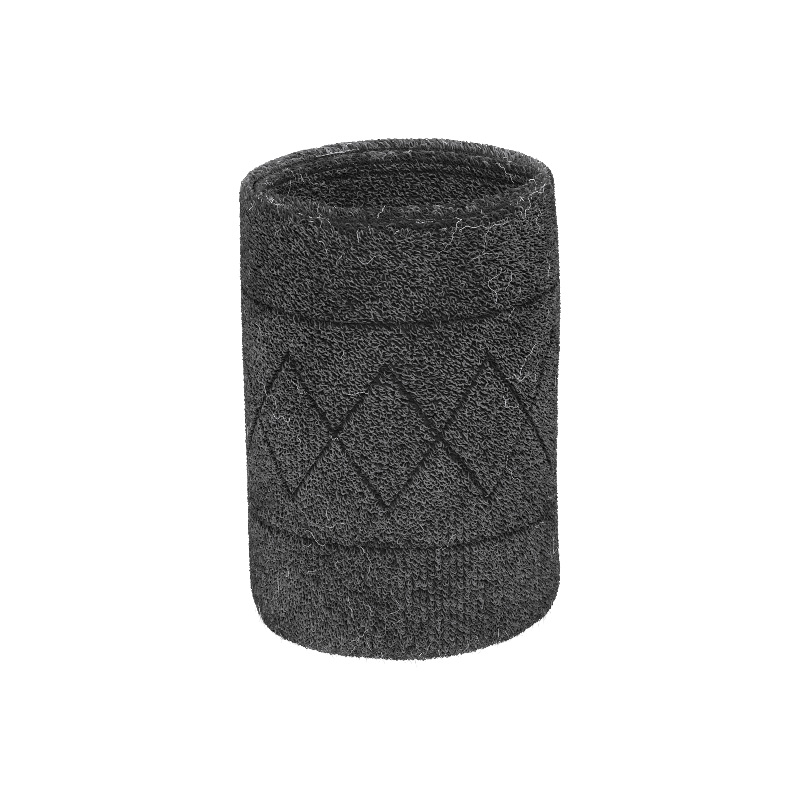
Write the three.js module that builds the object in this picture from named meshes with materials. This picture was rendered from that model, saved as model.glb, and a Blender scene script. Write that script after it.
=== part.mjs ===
// A terry sweat wristband, standing on end. One circular-knit terry tube, knitted twice as long as the
// band, is folded back on itself at the bottom edge, so the wall has two plies. Each ply is a ground knit
// that carries a pile of terry loops on its visible face, with elastic yarn laid in along its hidden face.
// The two raw ends meet in the groove of the top rim, where a three-thread overlock seam joins them.
// Millimetres, +Z up along the tube, origin at the middle of the edge that it stands on.

import * as THREE from "three";
import { ParametricGeometry } from "three/addons/geometries/ParametricGeometry.js";

// Driving dimensions.
const HEIGHT = 80;
const WIDTH = 54; // across the band, along X
const DEPTH = 49; // front to back, along Y
const OPENING_WIDTH = 43.6; // the wrist opening, along X
const OPENING_DEPTH = 27.4; // the wrist opening, along Y
const CORNER_SHARPNESS = 0.6; // 0 makes the opening an ellipse, 1 a lens with pointed ends
const TOP_TAPER = 0.015; // the rim is narrower than the body by this share
const TAPER_START = 0.7; // share of the height where the taper begins
const BOTTOM_TUCK = 0.06; // the outer face is drawn in by this share at the folded edge
const TUCK_HEIGHT = 9;

// Where the two plies meet, as a share of the wall from its outer face.
const MEETING_AT_SIDES = 0.52;
const MEETING_AT_FRONT = 0.38;

// Depths inside a ply, as levels: 0 is its visible face and 1 is where it meets the other ply.
const PILE_BACK = 0.56;
const GROUND_FACE = 0.61;
const GROUND_BACK = 0.74;
const PLY_END = 0.97;

// Edges.
const FOLD_RADIUS = 6;
const FOLD_FLAT = { outer: 0.9, inner: 0.5 }; // level where the flat of the resting edge ends
const PILE_AT_FOLD = 2.9; // thickness of the pile under the fold
const GROUND_AT_FOLD = 0.7;
const LAYER_GAP = 0.3;
const RIM_RADIUS = 2.2;
const RIM_CREST = { outer: 0.45, inner: 0.28 }; // level of the highest point of each rim roll
const LIP_DROP = 0.3; // the inner roll is lower than the outer one
const GROOVE_EDGE = { outer: 0.82, inner: 0.62 }; // level where each roll runs down into the groove
const GROOVE_DEPTH = 3;
const PILE_TURN_IN = 1.6; // how far the pile turns in below the groove
const SEAM_ROOM = 4.4; // height of the space that holds the seam threads

// Yarns.
const ELASTIC_DIAMETER = 0.4;
const ELASTIC_TURNS = 10;
const ELASTIC_LEVEL = { outer: 0.92, inner: 0.98 };
const ELASTIC_MARGIN = 3;
const THREAD_DIAMETER = 0.24;
const STITCHES = 48;
const STITCH_HEIGHT = { needle: 1.2, looper: 2.6 };
const LOOPER_LEVEL = 0.8;
const THREAD_END_GAP = 0.012; // share of a turn between a thread's two ends

// Facets.
const SLICES = 40;
const ARC_STEPS = 3;
const ELASTIC_STEPS = 32; // a turn
const STITCH_STEPS = 4;

const grooveFloor = HEIGHT - GROOVE_DEPTH;
const groundTop = grooveFloor - PILE_TURN_IN - SEAM_ROOM;
const seamHeight = grooveFloor - PILE_TURN_IN - SEAM_ROOM / 2;

const charcoal = 0x3d3d3f;
const materials = {
  pile: new THREE.MeshStandardMaterial({ color: charcoal, roughness: 0.95, metalness: 0 }),
  ground: new THREE.MeshStandardMaterial({ color: 0x2b2b2d, roughness: 0.9, metalness: 0 }),
  elastic: new THREE.MeshStandardMaterial({ color: 0x4a4a4c, roughness: 0.7, metalness: 0 }),
  thread: new THREE.MeshStandardMaterial({ color: 0x333335, roughness: 0.6, metalness: 0 }),
};

// The wall's faces in plan: an ellipse outside, and a lens with softly pointed ends inside.
function outerFace(angle) {
  return new THREE.Vector2((WIDTH / 2) * Math.cos(angle), (DEPTH / 2) * Math.sin(angle));
}

function innerFace(angle) {
  const side = Math.sin(angle);
  const lens = 1 - CORNER_SHARPNESS + CORNER_SHARPNESS * Math.abs(side);
  return new THREE.Vector2((OPENING_WIDTH / 2) * Math.cos(angle), (OPENING_DEPTH / 2) * side * lens);
}

// The band narrows a little towards the rim, and its outer side is drawn in at the folded edge.
function narrowing(z, share) {
  const up = THREE.MathUtils.smoothstep(z / HEIGHT, TAPER_START, 1);
  const down = Math.max(0, 1 - z / TUCK_HEIGHT) ** 2;
  return 1 - TOP_TAPER * up - BOTTOM_TUCK * down * (1 - share);
}

// A point of a ply at a level of its thickness, at an angle round the band and a height.
function plyPoint(ply, angle, level, z, target = new THREE.Vector3()) {
  const frontness = Math.sin(angle) ** 2;
  const meeting = THREE.MathUtils.lerp(MEETING_AT_SIDES, MEETING_AT_FRONT, frontness);
  const share = ply === "outer" ? meeting * level : 1 - (1 - meeting) * level;
  const plan = outerFace(angle).lerp(innerFace(angle), share).multiplyScalar(narrowing(z, share));
  return target.set(plan.x, plan.y, z);
}

// A quarter of an ellipse in the plane of level and height, without its first point.
// It leaves the first point along the level and arrives along the height, or the other way round.
function corner([level0, z0], [level1, z1], leavesAlongLevel) {
  return Array.from({ length: ARC_STEPS }, (_, i) => {
    const turn = ((i + 1) / ARC_STEPS) * (Math.PI / 2);
    const early = Math.sin(turn);
    const late = 1 - Math.cos(turn);
    const alongLevel = leavesAlongLevel ? early : late;
    const alongHeight = leavesAlongLevel ? late : early;
    return [level0 + (level1 - level0) * alongLevel, z0 + (z1 - z0) * alongHeight];
  });
}

// The closed outline of a ply's pile: resting edge, visible face, rim roll, groove, and back.
function pileOutline(ply) {
  const crestZ = ply === "outer" ? HEIGHT : HEIGHT - LIP_DROP;
  const foldStart = [FOLD_FLAT[ply], 0];
  const wallStart = [0, FOLD_RADIUS];
  const aboveTuck = [0, TUCK_HEIGHT];
  const wallEnd = [0, crestZ - RIM_RADIUS];
  const crest = [RIM_CREST[ply], crestZ];
  const groove = [GROOVE_EDGE[ply], grooveFloor];
  const back = [PILE_BACK, grooveFloor - PILE_TURN_IN];
  const backEnd = [PILE_BACK, FOLD_RADIUS + PILE_AT_FOLD / 2];
  return [
    [PLY_END, 0],
    foldStart,
    ...corner(foldStart, wallStart, true),
    aboveTuck,
    wallEnd,
    ...corner(wallEnd, crest, false),
    ...corner(crest, groove, true),
    [PLY_END, grooveFloor],
    [PLY_END, grooveFloor - PILE_TURN_IN / 2],
    back,
    backEnd,
    ...corner(backEnd, [PLY_END, PILE_AT_FOLD], false),
  ];
}

// The closed outline of the ground knit, which lies behind the pile and turns with it at the fold.
function groundOutline() {
  const faceFold = [PLY_END, PILE_AT_FOLD + LAYER_GAP];
  const faceWall = [GROUND_FACE, FOLD_RADIUS + PILE_AT_FOLD / 2 + LAYER_GAP];
  const backWall = [GROUND_BACK, faceWall[1] + GROUND_AT_FOLD / 2];
  const backFold = [PLY_END, faceFold[1] + GROUND_AT_FOLD];
  return [
    faceFold,
    ...corner(faceFold, faceWall, true),
    [GROUND_FACE, groundTop],
    [GROUND_BACK, groundTop],
    backWall,
    ...corner(backWall, backFold, false),
  ];
}

// Sweeps a closed outline round the band. The inner ply is a mirror image, so its turn is reversed.
function ringSolid(ply, outline) {
  const count = outline.length;
  const sense = ply === "outer" ? 1 : -1;
  const place = (u, v, target) => {
    const angle = sense * 2 * Math.PI * (Math.round(u * SLICES) % SLICES) / SLICES;
    const [level, z] = outline[Math.round(v * count) % count];
    plyPoint(ply, angle, level, z, target);
  };
  return new ParametricGeometry(place, SLICES, count);
}

// A yarn that follows place(t) for t from 0 to 1.
class YarnPath extends THREE.Curve {
  constructor(place) {
    super();
    this.place = place;
    this.arcLengthDivisions = 4000;
  }

  getPoint(t, target = new THREE.Vector3()) {
    return this.place(t, target);
  }
}

function yarnSolid(place, diameter, steps, sides) {
  const section = new THREE.Shape(
    Array.from({ length: sides }, (_, i) => {
      const turn = (2 * Math.PI * i) / sides;
      return new THREE.Vector2((diameter / 2) * Math.cos(turn), (diameter / 2) * Math.sin(turn));
    }),
  );
  return new THREE.ExtrudeGeometry(section, { steps, extrudePath: new YarnPath(place), bevelEnabled: false });
}

// Elastic yarn, laid in as one helix along the hidden face of a ply. The two helices are half a pitch apart.
function elasticSolid(ply) {
  const low = FOLD_RADIUS + PILE_AT_FOLD / 2 + ELASTIC_MARGIN;
  const high = groundTop - ELASTIC_MARGIN / 2;
  const pitch = (high - low) / (ELASTIC_TURNS + 0.5);
  const start = ply === "outer" ? low : low + pitch / 2;
  const place = (t, target) =>
    plyPoint(ply, 2 * Math.PI * ELASTIC_TURNS * t, ELASTIC_LEVEL[ply], start + pitch * ELASTIC_TURNS * t, target);
  return yarnSolid(place, ELASTIC_DIAMETER, ELASTIC_TURNS * ELASTIC_STEPS, 4);
}

// One seam thread, a wave of stitches round the band.
function threadSolid(ply, level, height, phase) {
  const place = (t, target) => {
    const turn = t * (1 - THREAD_END_GAP);
    const wave = Math.cos(2 * Math.PI * (STITCHES * turn + phase));
    return plyPoint(ply, 2 * Math.PI * turn, level, seamHeight + (height / 2) * wave, target);
  };
  return yarnSolid(place, THREAD_DIAMETER, STITCHES * STITCH_STEPS, 3);
}

const wristband = new THREE.Group();

function add(name, geometry, material) {
  const mesh = new THREE.Mesh(geometry, material);
  mesh.name = name;
  wristband.add(mesh);
}

for (const ply of ["outer", "inner"]) {
  add(`${ply}_terry_pile`, ringSolid(ply, pileOutline(ply)), materials.pile);
  add(`${ply}_ground_knit`, ringSolid(ply, groundOutline()), materials.ground);
  add(`${ply}_elastic_yarn`, elasticSolid(ply), materials.elastic);
}
add("seam_needle_thread", threadSolid("outer", 1, STITCH_HEIGHT.needle, 0), materials.thread);
add("seam_upper_looper_thread", threadSolid("outer", LOOPER_LEVEL, STITCH_HEIGHT.looper, 0.25), materials.thread);
add("seam_lower_looper_thread", threadSolid("inner", LOOPER_LEVEL, STITCH_HEIGHT.looper, 0.75), materials.thread);

export default wristband;
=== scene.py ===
"""Looks of a charcoal terry sweat wristband: real loops of pile yarn on a folded tube of ground knit.

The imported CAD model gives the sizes. The pile is built as a shell between two surfaces, the ground
knit and the tips of the loops. A place in that shell is given by its wale (round the band), its
course (from the groove of the rim, down the outside, round the fold and up the inside) and its height
(0 on the ground knit, 1 at the tips).
"""

import math

import bpy
import numpy as np
from mathutils import Matrix, Vector
from mathutils.bvhtree import BVHTree


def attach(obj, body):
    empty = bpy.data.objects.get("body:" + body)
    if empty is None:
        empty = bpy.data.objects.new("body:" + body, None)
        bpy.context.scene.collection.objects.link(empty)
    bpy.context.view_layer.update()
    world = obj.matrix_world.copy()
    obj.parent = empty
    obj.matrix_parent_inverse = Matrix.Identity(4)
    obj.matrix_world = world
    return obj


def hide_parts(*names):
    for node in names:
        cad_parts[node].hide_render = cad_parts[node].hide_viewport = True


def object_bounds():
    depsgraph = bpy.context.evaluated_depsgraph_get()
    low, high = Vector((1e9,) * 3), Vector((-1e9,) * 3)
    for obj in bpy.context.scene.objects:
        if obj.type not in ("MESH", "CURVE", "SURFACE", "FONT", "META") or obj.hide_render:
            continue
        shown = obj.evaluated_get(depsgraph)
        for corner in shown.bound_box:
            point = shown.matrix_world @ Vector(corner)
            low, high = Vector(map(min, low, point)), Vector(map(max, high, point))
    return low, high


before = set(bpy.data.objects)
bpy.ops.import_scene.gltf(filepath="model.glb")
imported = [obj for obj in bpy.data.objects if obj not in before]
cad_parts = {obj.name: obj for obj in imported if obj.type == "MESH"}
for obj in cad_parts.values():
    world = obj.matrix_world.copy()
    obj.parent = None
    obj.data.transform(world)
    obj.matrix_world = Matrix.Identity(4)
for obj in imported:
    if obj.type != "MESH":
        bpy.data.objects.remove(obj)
CAD_LOW, CAD_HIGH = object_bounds()

MM = 0.001
TURN = 2 * math.pi

# The wall. Its shares are those of the CAD source; its rolls are rounder and its groove less deep.
HEIGHT = CAD_HIGH.z
HALF_WIDTH = CAD_HIGH.x
HALF_DEPTH = CAD_HIGH.y
GIRTH = math.pi * (HALF_WIDTH + HALF_DEPTH)
CORNER_SHARPNESS = 0.6  # 0 makes the opening an ellipse, 1 a lens with pointed ends
CORNER_REACH = 1.3 * MM  # soft pile gives way here, so the ends of the opening go a little deeper
TOP_TAPER = 0.015
TAPER_START = 0.7
BOTTOM_TUCK = 0.06  # the outer side is drawn in by this share at the folded edge
TUCK_HEIGHT = 9 * MM
MEETING_AT_SIDES = 0.52  # where the two plies meet, as a share of the wall from outside
MEETING_AT_FRONT = 0.38
FOLD_RADIUS = 6 * MM
FOLD_COURSES = 4  # each side of the fold, where the wales take up the other ply's spacing
RIM_RADIUS = 3.4 * MM
LIP_DROP = 0.3 * MM
GROOVE_DEPTH = 2.0 * MM

# The knit. Heights are shares of the pile, and spreads are standard deviations.
WALES = 126
COURSE_PITCH = 0.92 * MM
RIM_COURSES = 7  # at each end of the pile, over a roll of the rim
YARN_RADIUS = 0.1 * MM
YARN_SPREAD = 0.13  # as a share of the radius
YARN_LIMITS = 0.7, 1.35
YARN_AT_FEET = 0.6  # the yarn is thinner there, where it dives
YARN_SWELL = 0.45
NAP = 0.5 * MM  # the tips are brushed upwards
GOLDEN = 0.618  # spreads the strands of a cell evenly
LOOP_LENGTH = 0.78 * MM
LOOP_LENGTH_SPREAD = 0.15 * MM
LOOP_LENGTH_LIMITS = 0.5 * MM, 1.8 * MM
LEAN = 34  # degrees, down to the right of the course
LEAN_SWING = 10
LEAN_SPREAD = 13
STRAYS = 0.06  # share of the loops that lie any way round
CENTRE_SPREAD = 0.1 * MM  # how far a loop is from its place in the knit
BOW = 0.13 * MM  # how far a loop bends to one side
CURL = 0.08 * MM  # and how far it bends like an S
ARCH = 2.1  # how square a loop is: 2 is a parabola
LOOP_TOP = 0.9
LOOP_TOP_SWING = 0.08
LOOP_TOP_SPREAD = 0.09
LOOP_TOP_LIMITS = 0.6, 1.15
LOOP_ROOT = -0.05  # height of its two feet, which are sunk in the ground knit
PRESSED = 0.45  # height of the loops in the lines of the pattern, as a share of the others

# Loops that lie in clear columns.
ORDER_MOST = 0.65  # how orderly they get, where 1 is fully
ORDER_LIMITS = 0.35, 1.6  # of the field that says where they are
ORDER_PATCH = 1.3  # what the clearest patch adds to it
ORDERED_LEAN = 12
ORDERED_LOOSENESS = 0.4
ORDERED_STRETCH = 0.15  # they are longer by this share
ORDERED_WIDTH = 0.3  # and their strands keep to this share of their wale

# Loops that curl into a ring.
RINGS = 0.03  # share of the loops
RING_RADIUS_LIMITS = 0.26 * MM, 0.42 * MM
RING_SWEEP = 1.75 * math.pi
RING_DIP = 0.25  # height of a ring's lowest part, as a share of its top
RING_PRESS_LIMIT = 0.3  # no rings where the pile is pressed down more than this

# Loops over the rolls of the rim.
CREST_START = 1.6 * MM  # below the top
CREST_FULL = 0.4 * MM
RIM_LEAN = 8  # degrees of extra lean, where the loops fan out
RIM_LEAN_BEHIND = 14
RIM_STRETCH = 1.1  # they are longer by this share
RIM_THICKENING = 0.2  # and thicker by this share
RIM_TOP_SPREAD = 1.5  # and their heights vary more by this share

# The tint of a strand, from 0 for the darkest yarn to 1 for the lightest. Some of these constants paint
# light and shade into it.
TINT = 0.5
TINT_SWING = 0.12
TINT_SPREAD = 0.26
BAND_TONE_AND_SHADE = 0.14  # lighter by this much round the middle of the band, and darker towards its top and bottom edges as painted shade
SIDE_PAINTED_SHADE = 1.9  # painted shade: darker at the sides by this many times as much
BAND_TONE_MIDDLE = 0.48  # share of the height
BAND_TONE_REACH = 0.45
RIM_PAINTED_SHADE = -0.4  # painted shade: added on the rim, and below 0 it makes it darker
RIM_PAINTED_LIGHT_BEHIND = 1.4  # painted light: the same at the back of the outer roll, where it makes it lighter
RIM_TINT_SPREAD = 1.3  # the tints of the rim vary more by this share
RIM_PATCHES = 0.25  # lighter and darker patches along the rim
RIM_CONTRAST = 0.7  # painted shade: the darkest loops of the rim are shaded by this share
LINE_PAINTED_SHADE = 0.6  # painted shade: taken off in the pressed lines of the pattern
GROOVE_PAINTED_SHADE = 0.8  # painted shade: taken off where the groove shades the yarn most

# The groove between the two rolls of the rim.
GROOVE_SHADE = 0.9  # painted shade: the pile grows darker by this share over the courses that face the groove
GROOVE_SHADE_LIMITS = 0.6, 1.1
GROOVE_SHADE_AT_SIDES = 0.8  # there the shade is less by this share
GROOVE_SHADE_COURSES = {"front": 9.0, "back": 1.3, "lip in front": 3.5, "lip behind": 2.0}
GROOVE_FILL = 0.85  # the groove is pressed shut by this share at the two sides
GROOVE_FILL_BEHIND = 0.72
GROOVE_FILL_IN_FRONT = 0.6
GROOVE_COURSES = 3.2  # the pressed groove is also less deep over this many courses
GROOVE_FLOOR_COURSES = 2  # its walls are drawn together over these


def smoothstep(x, low, high):
    t = np.clip((x - low) / (high - low), 0, 1)
    return t * t * (3 - 2 * t)


def lerp(a, b, t):
    return a + (b - a) * t


def at_sides(angle):
    """1 at the two side creases of the band, and 0 in front and behind."""
    return smoothstep(np.abs(np.cos(angle)), 0.6, 0.95)


def at_back(angle):
    """1 round the back of the band, and 0 in front."""
    return smoothstep(np.sin(angle), -0.2, 0.3)


def opening_of(node):
    """Half the width and half the depth of the opening inside a CAD node, at half its height."""
    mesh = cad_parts[node].data
    points = [v.co for v in mesh.vertices]
    tree = BVHTree.FromPolygons(points, [p.vertices for p in mesh.polygons])
    middle = Vector((0, 0, HEIGHT / 2))
    return tree.ray_cast(middle, Vector((1, 0, 0)))[3], tree.ray_cast(middle, Vector((0, -1, 0)))[3]


OPENING_HALF_WIDTH, OPENING_HALF_DEPTH = opening_of("inner_terry_pile")


# ---------------------------------------------------------------- the shell


def arc(start, end, leaves_flat, steps=12):
    """A quarter of an ellipse from start to end, both (level, height), without its first point."""
    turn = np.linspace(0, math.pi / 2, steps + 1)[1:]
    early, late = np.sin(turn), 1 - np.cos(turn)
    level, height = (early, late) if leaves_flat else (late, early)
    return list(zip(lerp(start[0], end[0], level), lerp(start[1], end[1], height)))


def outline(face, fold_end, flat, rim):
    """A ply's side of the shell in its own levels, from the fold to the groove.

    face is the level of its wall, fold_end its (level, height) at the fold, flat the share of the fold
    where its curve begins, and rim its crest, the top of its groove wall and the end of that wall.
    """
    crest, groove_top, groove_end = rim
    wall_low = (face, FOLD_RADIUS + (fold_end[1] if face else 0))
    wall_high = (face, crest[1] - RIM_RADIUS)
    fold_start = (lerp(face, fold_end[0], flat), fold_end[1])
    quarters = np.linspace(0, 1, 5)[1:]
    points = [fold_end]
    points += [(lerp(fold_end[0], fold_start[0], t), fold_end[1]) for t in quarters]
    points += arc(fold_start, wall_low, True)
    points += [(face, lerp(wall_low[1], wall_high[1], t)) for t in np.linspace(0, 1, 41)[1:]]
    points += arc(wall_high, crest, False)
    points += arc(crest, groove_top, True)
    points += [tuple(lerp(np.array(groove_top), np.array(groove_end), t)) for t in quarters]
    return np.array(points)


GROOVE_TOP = HEIGHT - GROOVE_DEPTH
GROOVE_END = HEIGHT - GROOVE_DEPTH - 1.0 * MM
SEAM_HEIGHT = HEIGHT - GROOVE_DEPTH - 3.0 * MM
LIP_TOP = HEIGHT - LIP_DROP
RIM_PILE = 0.35 * MM  # how far the ground knit stays below the crests
GROUND_AT_FOLD = 1.5 * MM
OUTER_FLAT, INNER_FLAT = 0.9, 0.5
OUTER_TIP_RIM = (0.44, HEIGHT), (0.92, GROOVE_TOP), (0.97, GROOVE_END)
INNER_TIP_RIM = (0.27, LIP_TOP), (0.78, GROOVE_TOP), (0.9, GROOVE_END)
TIPS = {
    "outer": outline(0, (1, 0), OUTER_FLAT, OUTER_TIP_RIM),
    "inner": outline(0, (1, 0), INNER_FLAT, INNER_TIP_RIM),
}
OUTER_GROUND_RIM = (0.47, HEIGHT - RIM_PILE), (0.78, GROOVE_TOP), (0.96, SEAM_HEIGHT)
INNER_GROUND_RIM = (0.29, LIP_TOP - RIM_PILE), (0.66, GROOVE_TOP), (0.96, SEAM_HEIGHT)
GROUND = {
    "outer": outline(0.36, (1, GROUND_AT_FOLD), OUTER_FLAT, OUTER_GROUND_RIM),
    "inner": outline(0.24, (1, GROUND_AT_FOLD), INNER_FLAT, INNER_GROUND_RIM),
}


def joined(sides):
    """Both plies' outlines as one, from the outer groove over the fold to the inner one.

    Each row is (a, b, height): the place across the wall is a * meeting + b, from outside.
    """
    outer = np.stack([sides["outer"][:, 0], np.zeros(len(sides["outer"])), sides["outer"][:, 1]], 1)
    inner = np.stack([sides["inner"][:, 0], 1 - sides["inner"][:, 0], sides["inner"][:, 1]], 1)
    return np.concatenate([outer[::-1], inner[1:]])


def plan(angle, across):
    """A point of the wall seen from above, at an angle and a share of the wall from outside."""
    side = np.sin(angle)
    outer_x, outer_y = HALF_WIDTH * np.cos(angle), HALF_DEPTH * side
    lens = 1 - CORNER_SHARPNESS + CORNER_SHARPNESS * np.abs(side)
    inner_x = (OPENING_HALF_WIDTH + CORNER_REACH) * np.cos(angle)
    inner_y = OPENING_HALF_DEPTH * side * lens
    return lerp(outer_x, inner_x, across), lerp(outer_y, inner_y, across)


FINE_STEPS = 2880
INNER_EVENNESS = 0.6  # inside, the wales are part of the way from the outer spacing to an even one
MIDDLING_MEETING = 0.45  # between the ones at the sides and in front


def evenly_round(across):
    """The angle of each wale where the wales are evenly spaced at that depth of the wall."""
    angle = np.linspace(0, TURN, FINE_STEPS + 1)
    x, y = plan(angle, across)
    length = np.concatenate([[0], np.cumsum(np.hypot(np.diff(x), np.diff(y)))])
    return np.interp(np.linspace(0, 1, WALES + 1), length / length[-1], angle)


OUTER_ANGLES = evenly_round(0.0)
INNER_ANGLES = lerp(OUTER_ANGLES, evenly_round(1.0), INNER_EVENNESS)

TIP_ROWS, GROUND_ROWS = joined(TIPS), joined(GROUND)


def course_table():
    """The course number of each row of the outlines, measured along the tips at a middling angle."""
    across = TIP_ROWS[:, 0] * MIDDLING_MEETING + TIP_ROWS[:, 1]
    x, y = plan(np.full(len(TIP_ROWS), TURN / 8), across)
    steps = np.sqrt(np.diff(x) ** 2 + np.diff(y) ** 2 + np.diff(TIP_ROWS[:, 2]) ** 2)
    return np.concatenate([[0], np.cumsum(steps)]) / COURSE_PITCH


COURSE_OF_ROW = course_table()
COURSES = COURSE_OF_ROW[-1]
FOLD_COURSE = COURSE_OF_ROW[len(TIPS["outer"]) - 1]


def tip_height(course):
    """The height above the table of the tips of a course."""
    return np.interp(course, COURSE_OF_ROW, TIP_ROWS[:, 2])


def from_groove(course):
    """How many courses away the nearer end of the pile is."""
    return np.minimum(course, COURSES - course)


def wave_field(rng, count, most_round, most_along):
    """A smooth field over the band, from about -1 to 1, that closes on itself round the band.

    It is a sum of count waves, with at most most_round crests round the band and most_along along it.
    """
    around = rng.integers(-most_round, most_round + 1, count)
    along = rng.uniform(-most_along, most_along, count)
    phase = rng.uniform(0, TURN, count)
    scale = math.sqrt(2 / count) / 1.5  # keeps the field within 1 nearly everywhere

    def field(wale, course):
        total = np.zeros(np.broadcast(wale, course).shape)
        for a, b, p in zip(around, along, phase):
            total += np.sin(TURN * (a * wale / WALES + b * course / COURSES) + p)
        return total * scale

    return field


shape_rng = np.random.default_rng(11)
BULGE = wave_field(shape_rng, count=10, most_round=3, most_along=3)
RIM_WAVE = wave_field(shape_rng, count=14, most_round=9, most_along=1)
RIM_WOBBLE = wave_field(shape_rng, count=20, most_round=22, most_along=4)
BULGE_SIZE = 0.3 * MM
BULGE_START = 8 * MM  # up from the table
RIM_WAVE_SIZE = 0.12 * MM
RIM_WAVE_START = 0.6  # share of the height
RIM_WOBBLE_SHARE = 0.045  # how far the rolls wander in and out, as a share of the wall
RIM_WOBBLE_BEHIND = 0.35  # at the back they wander by this share of that
RIM_HEIGHT = 3 * MM
FRONT_SAG = 0.9 * MM  # the outer roll of the rim is lower than the lip in front
FRONT_SAG_START = 0.85  # share of the height
RIM_GROUND_SINK = 0.8 * MM  # the rolls are all pile, except along the back
RIM_GROUND_TOP = 0.5 * MM  # it is sunk fully this far below the top
BACK_ROLL_COURSES = 2, 4  # where the back of the outer roll begins, after the groove
RIGHT_LIFT = 0.7 * MM  # the soft fold stands off the table on the right
RIGHT_LIFT_HEIGHT = 14 * MM


def shell(wale, course, height):
    """The points of the shell at these wales, courses and heights, as an array of x, y, z."""
    wale, course, height = np.broadcast_arrays(wale, course, height)
    wound = np.mod(wale, WALES)
    inside = smoothstep(course, FOLD_COURSE - FOLD_COURSES, FOLD_COURSE + FOLD_COURSES)
    numbers = np.arange(WALES + 1)
    outer_angle = np.interp(wound, numbers, OUTER_ANGLES)
    angle = lerp(outer_angle, np.interp(wound, numbers, INNER_ANGLES), inside)
    meeting = lerp(MEETING_AT_SIDES, MEETING_AT_FRONT, np.sin(angle) ** 2)
    a, b, z = (
        lerp(
            np.interp(course, COURSE_OF_ROW, GROUND_ROWS[:, k]),
            np.interp(course, COURSE_OF_ROW, TIP_ROWS[:, k]),
            height,
        )
        for k in range(3)
    )
    across = a * meeting + b
    wobble = RIM_WOBBLE_SHARE * lerp(1, RIM_WOBBLE_BEHIND, at_back(angle))
    across = across + wobble * RIM_WOBBLE(wale, course) * smoothstep(z, HEIGHT - RIM_HEIGHT, HEIGHT)
    shut = GROOVE_FILL * at_sides(angle)
    shut = np.maximum(shut, np.where(np.sin(angle) > 0, GROOVE_FILL_BEHIND, GROOVE_FILL_IN_FRONT))
    to_groove = from_groove(course)
    across = lerp(across, meeting, shut * (1 - smoothstep(to_groove, 0, GROOVE_FLOOR_COURSES)))
    x, y = plan(angle, across)
    up = smoothstep(z / HEIGHT, TAPER_START, 1)
    down = np.clip(1 - z / TUCK_HEIGHT, 0, 1) ** 2
    body = smoothstep(z, 0, BULGE_START)
    back_roll = at_back(angle) * smoothstep(course, *BACK_ROLL_COURSES) * (course < FOLD_COURSE)
    near_crest = smoothstep(z, HEIGHT - RIM_HEIGHT, HEIGHT - RIM_GROUND_TOP)
    z = z - RIM_GROUND_SINK * (1 - height) * (1 - back_roll) * near_crest
    z = z + RIM_WAVE_SIZE * RIM_WAVE(wale, 0 * course) * smoothstep(z, RIM_WAVE_START * HEIGHT, HEIGHT)
    sag = smoothstep(-np.sin(angle), 0.2, 1.0) * smoothstep(z, FRONT_SAG_START * HEIGHT, HEIGHT)
    z = z - FRONT_SAG * sag * (course < FOLD_COURSE)
    z = z + shut * (HEIGHT - z) * (1 - smoothstep(to_groove, 0, GROOVE_COURSES))
    z = z + RIGHT_LIFT * smoothstep(np.cos(angle), 0.0, 1.0) * (1 - smoothstep(z, 0, RIGHT_LIFT_HEIGHT))
    scale = 1 - TOP_TAPER * up - BOTTOM_TUCK * down * (1 - across)
    scale = scale + BULGE_SIZE / HALF_WIDTH * BULGE(wale, course) * body
    return np.stack([x * scale, y * scale, z], -1)


# ---------------------------------------------------------------- the sculpted pattern

RING_HEIGHTS = (62 * MM, 21.5 * MM)
DIAMONDS = 9  # round the band
DIAMOND_MIDDLE = 41.75 * MM
DIAMOND_HALF_HEIGHT = 13 * MM
LINE_HALF_WIDTH = 0.4 * MM
INNER_RING_HEIGHTS = (78.6 * MM, 76.7 * MM)
INNER_LINE_HALF_WIDTH = 0.3 * MM
INNER_PATTERN_END = 4  # courses before the groove


def line_depth(distance, half_width):
    """How much the pile is pressed down at that distance from the middle of a line."""
    return 1 - smoothstep(distance, 0.5 * half_width, 1.5 * half_width)


def pattern_depth(wale, course):
    """How much the pile is pressed down, from 0 to 1, along the rings and the diamonds of the outside.

    Two fine rings also run round the inside, under the rim.
    """
    height = tip_height(course)
    ring = np.min([np.abs(height - ring_height) for ring_height in RING_HEIGHTS], axis=0)
    across = np.abs(np.mod(wale / WALES * DIAMONDS, 1) - 0.5) * 2
    line = DIAMOND_HALF_HEIGHT * (1 - across)
    slope = DIAMOND_HALF_HEIGHT / (GIRTH / DIAMONDS / 2)
    diamond = np.abs(np.abs(height - DIAMOND_MIDDLE) - line) / math.hypot(1, slope)
    outside = line_depth(np.minimum(ring, diamond), LINE_HALF_WIDTH)
    inner_ring = np.min([np.abs(height - ring_height) for ring_height in INNER_RING_HEIGHTS], axis=0)
    inside = line_depth(inner_ring, INNER_LINE_HALF_WIDTH)
    inside = np.where(course < COURSES - INNER_PATTERN_END, inside, 0)
    return np.where(course < FOLD_COURSE, outside, inside)


# ---------------------------------------------------------------- yarn tubes

TABLE_GAP = 0.02 * MM
UV_INSET = 0.08  # free edge of each yarn's cell, as a share of it


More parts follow.
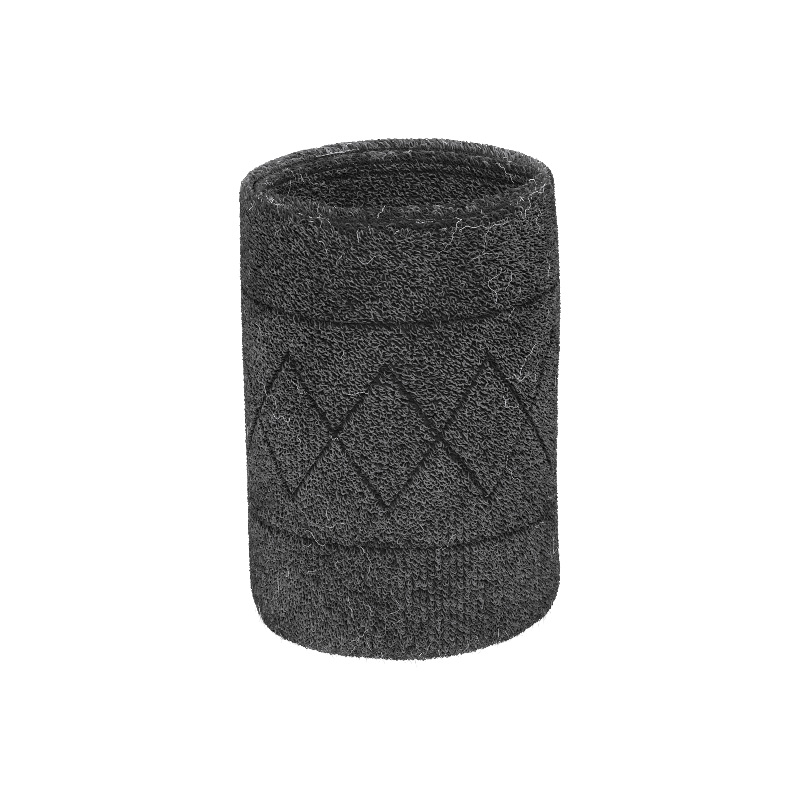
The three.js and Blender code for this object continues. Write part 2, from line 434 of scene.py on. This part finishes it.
def new_piece(name, points, quads, material, uv, values=None):
    """A smooth mesh piece from arrays of points, quads, a UV per corner and named values per point."""
    mesh = bpy.data.meshes.new(name)
    mesh.vertices.add(len(points))
    mesh.vertices.foreach_set("co", points.astype(np.float32).ravel())
    mesh.loops.add(quads.size)
    mesh.loops.foreach_set("vertex_index", quads.astype(np.int32).ravel())
    mesh.polygons.add(len(quads))
    mesh.polygons.foreach_set("loop_start", np.arange(0, quads.size, 4, dtype=np.int32))
    mesh.polygons.foreach_set("use_smooth", np.ones(len(quads), bool))
    layer = mesh.uv_layers.new(name="OFBake")
    layer.data.foreach_set("uv", uv.astype(np.float32).ravel())
    for key, value in (values or {}).items():
        attribute = mesh.attributes.new(key, "FLOAT", "POINT")
        attribute.data.foreach_set("value", value.astype(np.float32))
    mesh.update(calc_edges=True)
    mesh.materials.append(material)
    piece = bpy.data.objects.new(name, mesh)
    bpy.context.scene.collection.objects.link(piece)
    return piece


def tube_points(paths, radius, sides):
    """Rings of points round many paths at once. paths is (yarns, steps, 3), radius (yarns, steps)."""
    along = np.gradient(paths, axis=1)
    along /= np.linalg.norm(along, axis=2, keepdims=True) + 1e-12
    normal = np.where(np.abs(along[:, 0, 2:]) < 0.8, [[0.0, 0.0, 1.0]], [[1.0, 0.0, 0.0]])
    normals = np.empty_like(paths)
    for k in range(paths.shape[1]):
        normal = normal - (normal * along[:, k]).sum(1, keepdims=True) * along[:, k]
        normal /= np.linalg.norm(normal, axis=1, keepdims=True) + 1e-12
        normals[:, k] = normal
    binormals = np.cross(along, normals)
    turn = np.arange(sides) * TURN / sides
    cos, sin = np.cos(turn)[:, None], np.sin(turn)[:, None]
    offset = normals[:, :, None] * cos + binormals[:, :, None] * sin
    return paths[:, :, None] + offset * radius[:, :, None, None]


def tube_quads(yarns, steps, sides):
    """The quads of tubes of that many rings, and each corner's place along and round its tube."""
    ring, side = np.meshgrid(np.arange(steps - 1), np.arange(sides), indexing="ij")
    following = (side + 1) % sides
    low, high = ring * sides, (ring + 1) * sides
    corners = np.stack([low + side, low + following, high + following, high + side], -1)
    quads = np.arange(yarns)[:, None, None, None] * steps * sides + corners[None]
    along = np.stack([ring, ring, ring + 1, ring + 1], -1) / (steps - 1)
    around = np.stack([side, side + 1, side + 1, side], -1) / sides
    return quads.reshape(-1, 4), np.stack([along, around], -1).reshape(-1, 2)


def tubes(name, paths, radius, sides, material, tint, height):
    """A piece made of many yarns, with each yarn in its own cell of the UV map."""
    yarns, steps = paths.shape[:2]
    points = tube_points(paths, radius, sides).reshape(-1, 3)
    points[:, 2] = np.maximum(points[:, 2], TABLE_GAP)  # soft yarn is pressed flat on the table
    quads, place = tube_quads(yarns, steps, sides)
    cells_across = math.ceil(math.sqrt(yarns))
    number = np.arange(yarns)
    corner = np.stack([number % cells_across, number // cells_across], -1).repeat(len(place), 0)
    uv = (corner + UV_INSET + np.tile(place, (yarns, 1)) * (1 - 2 * UV_INSET)) / cells_across
    # the heights become painted shade in the pile's colour
    values = {"tint": tint.repeat(steps * sides), "height": height.ravel().repeat(sides)}
    return new_piece(name, points, quads, material, uv, values)


# ---------------------------------------------------------------- the pile

loop_rng = np.random.default_rng(5)
LEAN_FIELD = wave_field(loop_rng, count=14, most_round=6, most_along=7)
ORDER_FIELD = wave_field(loop_rng, count=14, most_round=9, most_along=10)
HEIGHT_FIELD = wave_field(loop_rng, count=18, most_round=14, most_along=16)
TINT_FIELD = wave_field(loop_rng, count=18, most_round=9, most_along=9)
ORDERED_WALE = 0.805 * WALES  # the clearest patch of columns: low down, in front and to the right
ORDERED_COURSE = FOLD_COURSE - 17
ORDERED_WALES = 9  # how far the patch reaches
ORDERED_COURSES = 14


def order_of(wale, course):
    """Where the loops lie in clear columns, from 0 to 1."""
    beside = np.mod(wale - ORDERED_WALE + WALES / 2, WALES) - WALES / 2
    above = course - ORDERED_COURSE
    patch = np.exp(-((beside / ORDERED_WALES) ** 2) - (above / ORDERED_COURSES) ** 2)
    return ORDER_MOST * smoothstep(ORDER_FIELD(wale, course) + ORDER_PATCH * patch, *ORDER_LIMITS)


def cells(wales, courses, strands):
    """The wale and course of each strand.

    The strands of a cell of the knit are spread evenly over it, or stacked up where the pile is ordered.
    """
    grid = np.meshgrid(wales, courses, np.arange(strands), indexing="ij")
    wale, course, strand = (axis.ravel() for axis in grid)
    order = order_of(wale, course)
    across = (strand + 0.5) / strands - 0.5
    along = np.mod(strand * GOLDEN, 1) - 0.5
    return wale + lerp(across, ORDERED_WIDTH * across, order), course + lerp(along, across, order)


def uprightness(course):
    """Which way the courses run: 1 where they go down, outside, and -1 where they go up, inside."""
    return np.clip((tip_height(course - 0.5) - tip_height(course + 0.5)) / COURSE_PITCH, -1, 1)


def steepness(course):
    """How much the loops stand across the rim, from 0 on the walls to 1 on the crests of its rolls."""
    return smoothstep(tip_height(course), HEIGHT - CREST_START, HEIGHT - CREST_FULL)


def band_tone_and_shade(wale, course):
    """How much lighter the yarn is: 1 round the middle, and below 0, as painted shade, at the top and
    bottom edges and the sides.
    """
    middle = np.cos(TURN / 2 * (tip_height(course) - BAND_TONE_MIDDLE * HEIGHT) / (BAND_TONE_REACH * HEIGHT))
    return middle - SIDE_PAINTED_SHADE * np.cos(TURN * wale / WALES) ** 4


def behind_outside(wale, course):
    """1 on the back of the outer ply, and 0 on its front and all over the inner ply."""
    return smoothstep(np.sin(TURN * wale / WALES), -0.3, 0.3) * (course < FOLD_COURSE)


def pitches(wale, course):
    """The distances from one wale to the next and from one course to the next, at the tips."""
    over = shell(wale + 0.5, course, 1.0) - shell(wale - 0.5, course, 1.0)
    down = shell(wale, course + 0.5, 1.0) - shell(wale, course - 0.5, 1.0)
    return np.linalg.norm(over, axis=1), np.linalg.norm(down, axis=1)


def loop_leans(wale, course, loose, rng):
    """How far each loop leans, in radians."""
    count = len(wale)
    fan = lerp(RIM_LEAN, RIM_LEAN_BEHIND, behind_outside(wale, course))
    lean = LEAN + LEAN_SWING * LEAN_FIELD(wale, course) + fan * steepness(course)
    lean = np.radians(lerp(lean, ORDERED_LEAN, order_of(wale, course)))
    lean = lean + rng.normal(0, math.radians(LEAN_SPREAD), count) * loose
    stray = rng.random(count) < STRAYS * loose
    return np.where(stray, rng.uniform(0, TURN, count), lean)


def loop_plans(t, length, loose, off_lines, rng):
    """The loops seen from above at each t, along and across their run, and which of them are rings."""
    count = len(length)
    run = -np.cos(math.pi * t) * 0.5  # slows at both ends, where the loop dives
    bow = rng.normal(0.0, BOW, count)[:, None] * np.sin(math.pi * t)
    curl = rng.normal(0.0, CURL, count)[:, None] * np.sin(TURN * t) * loose[:, None]
    ring = (rng.random(count) < RINGS) & off_lines
    size = rng.uniform(*RING_RADIUS_LIMITS, count)[:, None]
    turned = rng.uniform(0, TURN, count)[:, None] + RING_SWEEP * t
    along = np.where(ring[:, None], size * np.cos(turned), run * length[:, None])
    across = np.where(ring[:, None], size * np.sin(turned), bow + curl)
    return along, across, ring


def loop_heights(wale, course, t, ring, rng):
    """The height of each loop in the shell at each t."""
    top = LOOP_TOP + LOOP_TOP_SWING * HEIGHT_FIELD(wale, course)
    spread = rng.normal(0, LOOP_TOP_SPREAD, len(wale))
    top = np.clip(top + spread * (1 + RIM_TOP_SPREAD * steepness(course)), *LOOP_TOP_LIMITS)
    top = np.where(ring, np.maximum(top, 1.0), top)
    arch = 1 - np.abs(2 * t - 1) ** ARCH
    dip = np.where(ring[:, None], RING_DIP, 0.0)
    return top[:, None] * (dip + (1 - dip) * arch) + LOOP_ROOT


def groove_light(wale, course, rng):
    """The share of the light that the groove leaves each loop, painted into its colour as shade: 1 away
    from the groove.
    """
    angle = TURN * wale / WALES
    front = smoothstep(-np.sin(angle), 0, 0.9)
    outer_reach = lerp(GROOVE_SHADE_COURSES["back"], GROOVE_SHADE_COURSES["front"], front)
    lip_reach = lerp(GROOVE_SHADE_COURSES["lip behind"], GROOVE_SHADE_COURSES["lip in front"], front)
    reach = np.where(course < FOLD_COURSE, outer_reach, lip_reach)
    shade = GROOVE_SHADE * rng.uniform(*GROOVE_SHADE_LIMITS, len(wale)).clip(0, 1)
    shade = shade * (1 - GROOVE_SHADE_AT_SIDES * at_sides(angle))
    return 1 - shade * (1 - smoothstep(from_groove(course) / reach, 0, 1))


def loop_tints(wale, course, in_lines, rng):
    """The tint of each loop, with painted light and shade on the rim, the sides, the lines and the
    groove, and the share of the light that reaches it.
    """
    count = len(wale)
    steep = steepness(course)
    # lighter round the middle of the band, and darker at its edges and sides as painted shade
    tint = TINT + TINT_SWING * TINT_FIELD(wale, course) + BAND_TONE_AND_SHADE * band_tone_and_shade(wale, course)
    tint = tint + rng.normal(0, TINT_SPREAD, count) * (1 + RIM_TINT_SPREAD * steep)
    # painted shade on the rim, and painted light on the back of the outer roll
    tint = tint + lerp(RIM_PAINTED_SHADE, RIM_PAINTED_LIGHT_BEHIND, behind_outside(wale, course)) * steep
    tint = np.clip(tint + RIM_PATCHES * HEIGHT_FIELD(wale, course) * steep, 0, 1)
    light = groove_light(wale, course, rng)
    # painted shade in the pressed lines of the pattern and where the groove shades the loop
    tint = np.clip(tint - LINE_PAINTED_SHADE * in_lines - GROOVE_PAINTED_SHADE * (1 - light), 0, 1)
    # painted shade on some loops of the rim
    return tint, light * (1 - RIM_CONTRAST * steep * rng.random(count))


def loop_paths(wale, course, steps, rng):
    """The middle lines of terry loops, from the ground knit over their tips and down again.

    With them come their radii, their tints, and their heights dimmed by the shade that they stand in,
    which is painted into their colour.
    """
    count = len(wale)
    order = order_of(wale, course)
    loose = lerp(1.0, ORDERED_LOOSENESS, order)
    in_lines = pattern_depth(wale, course)
    steep = steepness(course)

    lean = loop_leans(wale, course, loose, rng)
    length = rng.normal(LOOP_LENGTH, LOOP_LENGTH_SPREAD, count).clip(*LOOP_LENGTH_LIMITS)
    length = length * (1 + RIM_STRETCH * steep) * (1 + ORDERED_STRETCH * order)
    centre_down = rng.normal(0, CENTRE_SPREAD, count) * loose
    centre_right = rng.normal(0, CENTRE_SPREAD, count) * loose
    t = np.linspace(0, 1, steps)[None]
    along, across, ring = loop_plans(t, length, loose, in_lines < RING_PRESS_LIMIT, rng)
    cos, sin = np.cos(lean)[:, None], np.sin(lean)[:, None]
    right = along * cos - across * sin + centre_right[:, None]
    down = along * sin + across * cos + centre_down[:, None]

    height = loop_heights(wale, course, t, ring, rng)
    down = down - NAP * uprightness(course)[:, None] * height
    wale_pitch, course_pitch = pitches(wale, course)
    wales = wale[:, None] + right / wale_pitch[:, None]
    courses = course[:, None] + down / course_pitch[:, None]
    height = height * lerp(1, PRESSED, pattern_depth(wales, courses))
    paths = shell(wales, courses, height)

    radius = YARN_RADIUS * rng.normal(1, YARN_SPREAD, count).clip(*YARN_LIMITS)
    radius = radius * (1 + RIM_THICKENING * steep)
    radius = radius[:, None] * (YARN_AT_FEET + YARN_SWELL * np.sin(math.pi * t))
    tint, light = loop_tints(wale, course, in_lines, rng)
    return paths, radius, tint, height * light[:, None]


def pile(ply, material, sectors, parts, steps, sides, seed):
    """The loops of one ply, in sectors, which stand for that ply's CAD pile.

    parts is a list of (courses, strands in each cell).
    """
    rng = np.random.default_rng(seed)
    each = WALES // sectors
    for sector in range(sectors):
        wales = sector * each + np.arange(each) + 0.5
        groups = [cells(wales, courses, strands) for courses, strands in parts]
        wale, course = (np.concatenate(rows) for rows in zip(*groups))
        paths, radius, tint, height = loop_paths(wale, course, steps, rng)
        piece = tubes(f"{ply}_loops_{sector + 1:02d}", paths, radius, sides, material, tint, height)
        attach(piece, "root")
        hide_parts(f"{ply}_terry_pile")


def all_loops():
    """The loops of both plies. Each ply's courses are its rim and its wall, down to half the fold."""
    yarn = pile_material()
    outer_rim = np.arange(0.5, RIM_COURSES)
    outer_wall = np.arange(RIM_COURSES + 0.5, FOLD_COURSE - 0.25)
    inner_wall = np.arange(FOLD_COURSE + 0.25, COURSES - RIM_COURSES)
    inner_rim = np.arange(inner_wall[-1] + 1, COURSES)
    outer_parts = [(outer_rim, 3), (outer_wall, 4)]
    inner_parts = [(inner_wall, 3), (inner_rim, 3)]
    pile("outer", yarn, sectors=14, parts=outer_parts, steps=7, sides=5, seed=21)
    pile("inner", yarn, sectors=7, parts=inner_parts, steps=6, sides=4, seed=22)


# ---------------------------------------------------------------- lint and fuzz

FIBRE_SIDES = 3
FIBRE_SPREAD = 0.2  # how much their radii vary, as a share
FIBRE_LIMITS = 0.6, 1.5
FIBRE_WANDER = 0.04  # how much a fibre rises or sinks from step to step, as a share of the pile
FIBRE_LOWEST = 0.8
FIBRE_TIP = 0.6  # how thick a fibre is at its end, as a share
RANDOM_BEND = 0.5  # shares of the curl
SWINGING_BEND = 1.4
SWING_RATES = 0.2, 0.9  # radians a step


def scattered(places, rng):
    """Random wales and courses to start at. Each place is (count, first course, last course)."""
    wale = rng.uniform(0, WALES, sum(count for count, _, _ in places))
    course = np.concatenate([rng.uniform(first, last, count) for count, first, last in places])
    return wale, course


def fibres(name, starts, length, lift, material, rng, radius, curl, steps):
    """Loose fibres that wander over the pile from their start wales and courses.

    lift holds how far each stands off the tips at its start and at its end, as shares of the pile,
    and curl is how far it bends at each step, in radians.
    """
    wale, course = starts
    count = len(wale)
    step = (length / (steps - 1))[:, None]
    phase = rng.uniform(0, TURN, count)[:, None]
    rate = rng.uniform(*SWING_RATES, count)[:, None]
    swing = np.sin(phase + rate * np.arange(steps))
    bends = rng.normal(0, RANDOM_BEND * curl, (count, steps)) + SWINGING_BEND * curl * swing
    heading = rng.uniform(0, TURN, count)[:, None] + np.cumsum(bends, axis=1)
    right = np.cumsum(np.cos(heading) * step, axis=1)
    down = np.cumsum(np.sin(heading) * step, axis=1)
    wales = wale[:, None] + right / (GIRTH / WALES)
    courses = course[:, None] + down / COURSE_PITCH
    wander = np.cumsum(rng.normal(0, FIBRE_WANDER, (count, steps)), axis=1)
    start, end = lift
    height = 1 + lerp(start, end[:, None], np.linspace(0, 1, steps)[None]) + wander
    paths = shell(wales, courses, np.maximum(height, FIBRE_LOWEST))
    thickness = radius * rng.normal(1, FIBRE_SPREAD, count).clip(*FIBRE_LIMITS)
    thickness = thickness[:, None] * np.linspace(1, FIBRE_TIP, steps)
    tint = rng.uniform(0, 1, count)
    piece = tubes(name, paths, thickness, FIBRE_SIDES, material, tint, height)
    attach(piece, "root")


def lint(material):
    """Light lint: curled fibres caught on the outside and on the two rolls of the rim."""
    rng = np.random.default_rng(31)
    outside = (110, RIM_COURSES, FOLD_COURSE - 4)
    outer_roll = (34, 3, RIM_COURSES + 2)
    inner_roll = (24, COURSES - RIM_COURSES, COURSES - 3)
    starts = scattered((outside, outer_roll, inner_roll), rng)
    count = len(starts[0])
    length = rng.gamma(3.0, 1.6 * MM, count).clip(2 * MM, 11 * MM)
    lift = 0.12, np.full(count, 0.12)
    fibres("lint_fibres", starts, length, lift, material, rng, radius=0.038 * MM, curl=0.22, steps=30)


def hairs(material):
    """Pale broken fibres that stand out from the fold and the rim."""
    rng = np.random.default_rng(33)
    above_fold = (90, FOLD_COURSE - 9, FOLD_COURSE - 2)
    outer_roll = (50, 3, RIM_COURSES)
    starts = scattered((above_fold, outer_roll), rng)
    count = len(starts[0])
    length = rng.uniform(0.5, 1.3, count) * MM
    lift = 0.0, rng.uniform(0.3, 1.0, count)
    fibres("pale_hairs", starts, length, lift, material, rng, radius=0.04 * MM, curl=0.1, steps=6)


def fuzz(material):
    """Short fibre ends that stand off the yarns."""
    rng = np.random.default_rng(32)
    count = 5200
    starts = scattered([(count, 2, COURSES - 2)], rng)
    length = rng.uniform(0.6, 1.9, count) * MM
    lift = -0.1, rng.gamma(2.0, 0.16, count)
    fibres("pile_fuzz", starts, length, lift, material, rng, radius=0.022 * MM, curl=0.25, steps=6)


# ---------------------------------------------------------------- the ground knit

STEPS_PER_WALE = 3
STEPS_PER_COURSE = 2
WALE_RELIEF = 0.05  # as shares of the pile
COURSE_RELIEF = 0.03
GROUND_SINK = 0.08


def ground_fabric(material):
    """One knitted tube, folded at the bottom: ribs of stitches in both directions."""
    wales = np.arange(WALES * STEPS_PER_WALE) / STEPS_PER_WALE
    courses = np.linspace(0, COURSES, int(COURSES) * STEPS_PER_COURSE)
    wale, course = np.meshgrid(wales, courses, indexing="ij")
    relief = WALE_RELIEF * np.cos(TURN * wale) + COURSE_RELIEF * np.cos(TURN * course)
    points = shell(wale, course, relief - GROUND_SINK).reshape(-1, 3)
    rows, columns = len(wales), len(courses)
    i, j = np.meshgrid(np.arange(rows), np.arange(columns - 1), indexing="ij")
    here = i * columns + j
    beside = (i + 1) % rows * columns + j
    quads = np.stack([here, here + 1, beside + 1, beside], -1).reshape(-1, 4)
    u = np.stack([i, i, i + 1, i + 1], -1) / rows
    v = np.stack([j, j + 1, j + 1, j], -1) / (columns - 1)
    uv = np.stack([u, v], -1).reshape(-1, 2)
    piece = new_piece("ground_fabric", points, quads, material, uv)
    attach(piece, "root")
    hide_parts("outer_ground_knit", "inner_ground_knit")


# ---------------------------------------------------------------- materials


def node_material(name, roughness, sheen=0.0, sheen_roughness=0.5, specular=0.3):
    """A material with its Principled node's plain values set, its node tree and that node."""
    material = bpy.data.materials.new(name)
    material.use_nodes = True
    tree = material.node_tree
    shader = tree.nodes["Principled BSDF"]
    shader.inputs["Roughness"].default_value = roughness
    shader.inputs["Specular IOR Level"].default_value = specular
    shader.inputs["Sheen Weight"].default_value = sheen
    shader.inputs["Sheen Roughness"].default_value = sheen_roughness
    return material, tree, shader


def grey(value):
    """A very slightly cool grey of that lightness, as a linear colour."""
    return (value, value, value * 1.03, 1)


def mesh_value(tree, name):
    """A value that the mesh holds for each point."""
    attribute = tree.nodes.new("ShaderNodeAttribute")
    attribute.attribute_name = name
    return attribute.outputs["Fac"]


def speckles(tree, scale):
    """Fine noise all over the piece."""
    coordinates = tree.nodes.new("ShaderNodeTexCoord")
    noise = tree.nodes.new("ShaderNodeTexNoise")
    noise.inputs["Scale"].default_value = scale
    noise.inputs["Detail"].default_value = 2
    tree.links.new(coordinates.outputs["Object"], noise.inputs["Vector"])
    return noise.outputs["Fac"]


def weighed_sum(tree, value, weight, other):
    """value * weight + other."""
    node = tree.nodes.new("ShaderNodeMath")
    node.operation = "MULTIPLY_ADD"
    node.inputs[1].default_value = weight
    tree.links.new(value, node.inputs[0])
    tree.links.new(other, node.inputs[2])
    return node.outputs[0]


def grey_ramp(tree, value, dark, light, start=0.0, end=1.0):
    """A grey that goes from dark to light as the value goes from start to end."""
    ramp = tree.nodes.new("ShaderNodeValToRGB")
    first, last = ramp.color_ramp.elements
    first.position = start
    first.color = grey(dark)
    last.position = end
    last.color = grey(light)
    tree.links.new(value, ramp.inputs["Fac"])
    return ramp.outputs["Color"]


DARKEST_HEIGHT = 0.22  # below this share of the pile the painted shade grows no darker


def painted_pile_shade(tree, colour, height, root):
    """The colour with painted shade: darker below the tips of the pile, down to root times as light on
    the ground knit.
    """
    depth = tree.nodes.new("ShaderNodeMapRange")
    depth.interpolation_type = "SMOOTHSTEP"
    depth.inputs["From Min"].default_value = DARKEST_HEIGHT
    depth.inputs["From Max"].default_value = 1.0
    depth.inputs["To Min"].default_value = root
    depth.inputs["To Max"].default_value = 1.0
    tree.links.new(height, depth.inputs["Value"])
    shaded = tree.nodes.new("ShaderNodeVectorMath")
    shaded.operation = "SCALE"
    tree.links.new(colour, shaded.inputs["Vector"])
    tree.links.new(depth.outputs["Result"], shaded.inputs["Scale"])
    return shaded.outputs["Vector"]


def pile_material():
    """Spun cotton: each strand its own grey, with flecks, and painted shade that darkens it towards its
    root. Nearly matt.
    """
    material, tree, shader = node_material(
        "pile_cotton", roughness=0.85, sheen=0.02, sheen_roughness=0.4, specular=0.06
    )
    fleck_weight = 0.35
    value = weighed_sum(tree, speckles(tree, scale=2200), fleck_weight, mesh_value(tree, "tint"))
    colour = grey_ramp(tree, value, dark=0.03, light=0.128, start=0.15)
    # painted shade: darker lower in the pile and where the heights are dimmed
    colour = painted_pile_shade(tree, colour, mesh_value(tree, "height"), root=0.2)
    tree.links.new(colour, shader.inputs["Base Color"])
    return material


def fibre_material(name, dark, light):
    """Loose fibres, each its own grey, brighter in flecks."""
    material, tree, shader = node_material(name, roughness=0.8, specular=0.2)
    tint_weight = 0.5
    value = weighed_sum(tree, mesh_value(tree, "tint"), tint_weight, speckles(tree, scale=1200))
    colour = grey_ramp(tree, value, dark, light, start=0.3)
    tree.links.new(colour, shader.inputs["Base Color"])
    return material


def ground_material():
    """The ground knit, speckled with lighter fibres: kept far darker than the pile yarn as painted shade
    between the loops.
    """
    material, tree, shader = node_material("ground_knit_yarn", roughness=0.95, specular=0.05)
    colour = grey_ramp(tree, speckles(tree, scale=900), dark=0.005, light=0.018, start=0.35, end=0.7)
    tree.links.new(colour, shader.inputs["Base Color"])
    return material


def yarn_material(name, dark, light, roughness, twist):
    """A fine wrapped or twisted yarn: slanting bands of light and dark, with a slight sheen."""
    material, tree, shader = node_material(name, roughness, sheen=0.1, specular=0.35)
    coordinates = tree.nodes.new("ShaderNodeTexCoord")
    bands = tree.nodes.new("ShaderNodeTexWave")
    bands.bands_direction = "DIAGONAL"
    bands.inputs["Scale"].default_value = twist
    bands.inputs["Distortion"].default_value = 1.5
    bands.inputs["Detail"].default_value = 1
    tree.links.new(coordinates.outputs["Object"], bands.inputs["Vector"])
    tree.links.new(grey_ramp(tree, bands.outputs["Fac"], dark, light), shader.inputs["Base Color"])
    return material


def dress_hidden_yarns():
    """Materials for the yarns inside the wall and the seam threads, which keep their CAD shapes."""
    elastic = yarn_material("covered_elastic", dark=0.05, light=0.13, roughness=0.6, twist=900)
    thread = yarn_material("twisted_seam_thread", dark=0.02, light=0.06, roughness=0.5, twist=1600)
    for name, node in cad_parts.items():
        if name.endswith("_elastic_yarn"):
            node.material_slots[0].material = elastic
        if name.startswith("seam_"):
            node.material_slots[0].material = thread


# ---------------------------------------------------------------- camera, light and floor

CENTRE = Vector((0, 0, HEIGHT / 2))
CAMERA_DISTANCE = 0.9
CAMERA_ELEVATION = math.radians(20.3)
CAMERA_AZIMUTH = math.radians(4.3)  # from the front towards the left
CAMERA_ROLL = math.radians(-1.1)
CAMERA_SHIFT = -0.0028
SENSOR_WIDTH = 36  # millimetres
FOCAL_LENGTH = 235.7
HORIZON = 0.15  # strength of the world's light
ZENITH = 0.4
LIGHT_SIZE = 0.4
KEY_PLACE = (-0.05, -0.9, 0.6)
KEY_POWER = 21
BACK_PLACE = (0, 0.5, 0.9)
BACK_POWER = 25
FLOOR_REACH = 6.0
FLOOR_GLOW = 0.95
FLOOR_GREY = 0.12
WHITE = (1, 1, 1, 1)


def camera():
    """The photograph's view: a long lens a little above the band, turned a little to its left."""
    data = bpy.data.cameras.new("camera")
    data.sensor_width = SENSOR_WIDTH
    data.lens = FOCAL_LENGTH
    data.clip_start = 0.01
    data.shift_x = CAMERA_SHIFT
    eye = bpy.data.objects.new("camera", data)
    bpy.context.scene.collection.objects.link(eye)
    level = math.cos(CAMERA_ELEVATION)
    x, y = -math.sin(CAMERA_AZIMUTH) * level, -math.cos(CAMERA_AZIMUTH) * level
    out = Vector((x, y, math.sin(CAMERA_ELEVATION)))
    eye.location = CENTRE + out * CAMERA_DISTANCE
    turned = (-out).to_track_quat("-Z", "Y").to_matrix().to_4x4()
    eye.rotation_euler = (turned @ Matrix.Rotation(CAMERA_ROLL, 4, "Z")).to_euler()
    bpy.context.scene.camera = eye


def area_light(name, place, power):
    """A round soft light that faces the band."""
    data = bpy.data.lights.new(name, "AREA")
    data.shape = "DISK"
    data.size = LIGHT_SIZE
    data.energy = power
    light = bpy.data.objects.new(name, data)
    bpy.context.scene.collection.objects.link(light)
    light.location = place
    light.rotation_euler = (CENTRE - Vector(place)).to_track_quat("-Z", "Y").to_euler()


def white_world():
    """A white surround, dim at the horizon and brighter overhead."""
    world = bpy.data.worlds.new("world")
    world.use_nodes = True
    tree = world.node_tree
    coordinates = tree.nodes.new("ShaderNodeTexCoord")
    height = tree.nodes.new("ShaderNodeSeparateXYZ")
    tree.links.new(coordinates.outputs["Generated"], height.inputs["Vector"])
    strength = tree.nodes.new("ShaderNodeMapRange")
    strength.inputs["From Min"].default_value = 0.1
    strength.inputs["From Max"].default_value = 0.9
    strength.inputs["To Min"].default_value = HORIZON
    strength.inputs["To Max"].default_value = ZENITH
    tree.links.new(height.outputs["Z"], strength.inputs["Value"])
    background = tree.nodes["Background"]
    background.inputs["Color"].default_value = WHITE
    tree.links.new(strength.outputs["Result"], background.inputs["Strength"])
    bpy.context.scene.world = world


def white_floor():
    """A wide white floor, which glows a little so that it stays white."""
    mesh = bpy.data.meshes.new("floor")
    corners = [(x * FLOOR_REACH, y * FLOOR_REACH, 0) for x, y in ((-1, -1), (1, -1), (1, 1), (-1, 1))]
    mesh.from_pydata(corners, [], [(0, 1, 2, 3)])
    floor = bpy.data.objects.new("floor", mesh)
    bpy.context.scene.collection.objects.link(floor)
    material, _, shader = node_material("floor_paper", roughness=0.9)
    shader.inputs["Base Color"].default_value = (FLOOR_GREY, FLOOR_GREY, FLOOR_GREY, 1)
    shader.inputs["Emission Color"].default_value = WHITE
    shader.inputs["Emission Strength"].default_value = FLOOR_GLOW
    mesh.materials.append(material)


def surroundings():
    """A white world, a soft key light in front, a second light behind, and a white floor."""
    white_world()
    area_light("key", KEY_PLACE, KEY_POWER)
    area_light("back", BACK_PLACE, BACK_POWER)
    white_floor()
    bpy.context.scene.view_settings.view_transform = "Standard"
    bpy.context.scene.cycles.filter_width = 0.8
    bpy.context.scene.cycles.use_denoising = False


camera()
surroundings()
ground_fabric(ground_material())
all_loops()
pale_fibre = fibre_material("lint_fibre", dark=0.2, light=0.55)
lint(pale_fibre)
hairs(pale_fibre)
fuzz(fibre_material("fuzz_fibre", dark=0.06, light=0.24))
dress_hidden_yarns()
